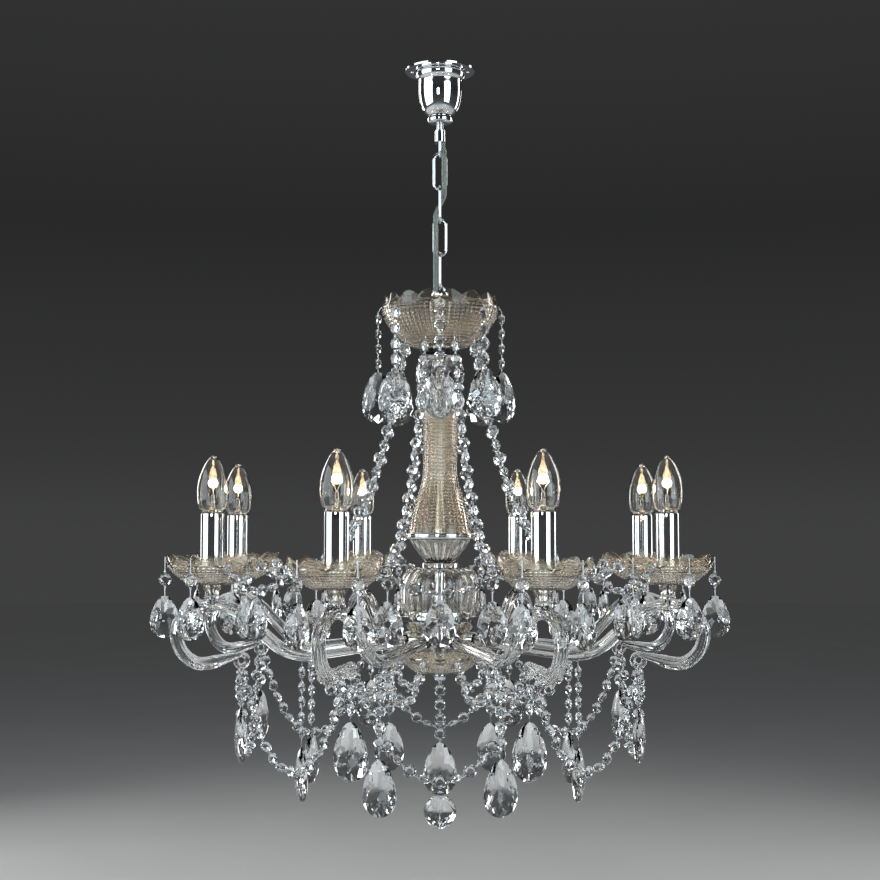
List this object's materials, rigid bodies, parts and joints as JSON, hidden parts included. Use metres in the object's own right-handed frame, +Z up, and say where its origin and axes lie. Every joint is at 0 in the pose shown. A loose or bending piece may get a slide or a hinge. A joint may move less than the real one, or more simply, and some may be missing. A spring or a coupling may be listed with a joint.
{
  "type": "crystal chandelier",
  "caption": "Glass-armed candle chandelier on a short ceiling chain, with faceted bead swags, almond drops and removable candle bulbs.",
  "frame": {"origin": "centre of the ceiling face of the ceiling plate", "axes": "+Z up, out of the ceiling face; -Y towards the viewer; the arms stand 45 degrees apart, the first at 22.5 degrees from -Y"},
  "size_m": [0.6336, 0.62, 0.8862],
  "materials": {
    "chrome": "bright polished chrome plate",
    "clear_glass": "clear pressed glass with cut studs and flutes",
    "crystal": "clear faceted crystal",
    "bulb_glass": "clear glass, lit, on a metal screw cap",
    "cable_sheath": "clear flat twin flex over stranded copper",
    "holder_plastic": "moulded",
    "terminal_plastic": "moulded",
    "steel_tube": "plated threaded tube"
  },
  "bodies": {
    "canopy": {"ceiling_plate": "chrome", "canopy_flange": "chrome", "canopy_cup": "chrome", "canopy_bead": "chrome", "canopy_nipple": "chrome", "canopy_nut": "chrome", "canopy_hook": "chrome", "terminal_block": "terminal_plastic", "supply_cable_1": "cable_sheath"},
    "link_1": {"chain_link_1": "chrome", "supply_cable_2": "cable_sheath"},
    "link_2": {"chain_link_2": "chrome", "supply_cable_3": "cable_sheath"},
    "link_3": {"chain_link_3": "chrome", "supply_cable_4": "cable_sheath"},
    "link_4": {"chain_link_4": "chrome", "supply_cable_5": "cable_sheath"},
    "column": {"supply_cable_6": "cable_sheath", "top_ring": "chrome", "stem_tube": "steel_tube", "top_bowl": "clear_glass", "bowl_collar": "clear_glass", "glass_ball": "clear_glass", "flared_collar": "clear_glass", "baluster": "clear_glass", "ring_plate": "chrome", "fluted_cone": "clear_glass", "glass_bell": "clear_glass", "hub_drum": "chrome", "hub_cup": "clear_glass", "arm_hub": "chrome", "bottom_dish": "clear_glass", "bottom_finial": "chrome", "glass_arm_1": "clear_glass", "glass_arm_2": "clear_glass", "glass_arm_3": "clear_glass", "glass_arm_4": "clear_glass", "glass_arm_5": "clear_glass", "glass_arm_6": "clear_glass", "glass_arm_7": "clear_glass", "glass_arm_8": "clear_glass", "candle_cups": "clear_glass", "candle_dishes": "clear_glass", "candle_sleeves": "chrome", "lampholders": "holder_plastic", "bowl_strands": "crystal", "column_strands": "crystal", "dish_pendants": "crystal", "dish_swags": "crystal", "arm_drops": "crystal", "lower_swags": "crystal"},
    "bulb_1": {"bulb_1": "bulb_glass"},
    "bulb_2": {"bulb_2": "bulb_glass"},
    "bulb_3": {"bulb_3": "bulb_glass"},
    "bulb_4": {"bulb_4": "bulb_glass"},
    "bulb_5": {"bulb_5": "bulb_glass"},
    "bulb_6": {"bulb_6": "bulb_glass"},
    "bulb_7": {"bulb_7": "bulb_glass"},
    "bulb_8": {"bulb_8": "bulb_glass"},
    "centre_drop": {"centre_drop": "crystal"}
  },
  "joints": [
    {"name": "chain_hinge_1", "type": "hinge", "parent": "canopy", "child": "link_1", "pos_m": [0, 0, -0.1033], "axis": [0, 1, 0], "range_deg": [-6, 6]},
    {"name": "chain_hinge_2", "type": "hinge", "parent": "link_1", "child": "link_2", "pos_m": [0, 0, -0.1428], "axis": [1, 0, 0], "range_deg": [-6, 6]},
    {"name": "chain_hinge_3", "type": "hinge", "parent": "link_2", "child": "link_3", "pos_m": [0, 0, -0.1823], "axis": [0, 1, 0], "range_deg": [-6, 6]},
    {"name": "chain_hinge_4", "type": "hinge", "parent": "link_3", "child": "link_4", "pos_m": [0, 0, -0.2218], "axis": [1, 0, 0], "range_deg": [-6, 6]},
    {"name": "chain_hinge_5", "type": "hinge", "parent": "link_4", "child": "column", "pos_m": [0, 0, -0.2613], "axis": [0, 1, 0], "range_deg": [-6, 6]},
    {"name": "bulb_1_screw", "type": "hinge", "parent": "column", "child": "bulb_1", "pos_m": [0.10333, -0.24945, -0.5265], "axis": [0, 0, 1], "range_deg": [0, 900]},
    {"name": "bulb_2_screw", "type": "hinge", "parent": "column", "child": "bulb_2", "pos_m": [0.24945, -0.10333, -0.5265], "axis": [0, 0, 1], "range_deg": [0, 900]},
    {"name": "bulb_3_screw", "type": "hinge", "parent": "column", "child": "bulb_3", "pos_m": [0.24945, 0.10333, -0.5265], "axis": [0, 0, 1], "range_deg": [0, 900]},
    {"name": "bulb_4_screw", "type": "hinge", "parent": "column", "child": "bulb_4", "pos_m": [0.10333, 0.24945, -0.5265], "axis": [0, 0, 1], "range_deg": [0, 900]},
    {"name": "bulb_5_screw", "type": "hinge", "parent": "column", "child": "bulb_5", "pos_m": [-0.10333, 0.24945, -0.5265], "axis": [0, 0, 1], "range_deg": [0, 900]},
    {"name": "bulb_6_screw", "type": "hinge", "parent": "column", "child": "bulb_6", "pos_m": [-0.24945, 0.10333, -0.5265], "axis": [0, 0, 1], "range_deg": [0, 900]},
    {"name": "bulb_7_screw", "type": "hinge", "parent": "column", "child": "bulb_7", "pos_m": [-0.24945, -0.10333, -0.5265], "axis": [0, 0, 1], "range_deg": [0, 900]},
    {"name": "bulb_8_screw", "type": "hinge", "parent": "column", "child": "bulb_8", "pos_m": [-0.10333, -0.24945, -0.5265], "axis": [0, 0, 1], "range_deg": [0, 900]},
    {"name": "centre_drop_swing", "type": "hinge", "parent": "column", "child": "centre_drop", "pos_m": [0, 0, -0.718], "axis": [0, 1, 0], "range_deg": [-20, 20]}
  ]
}
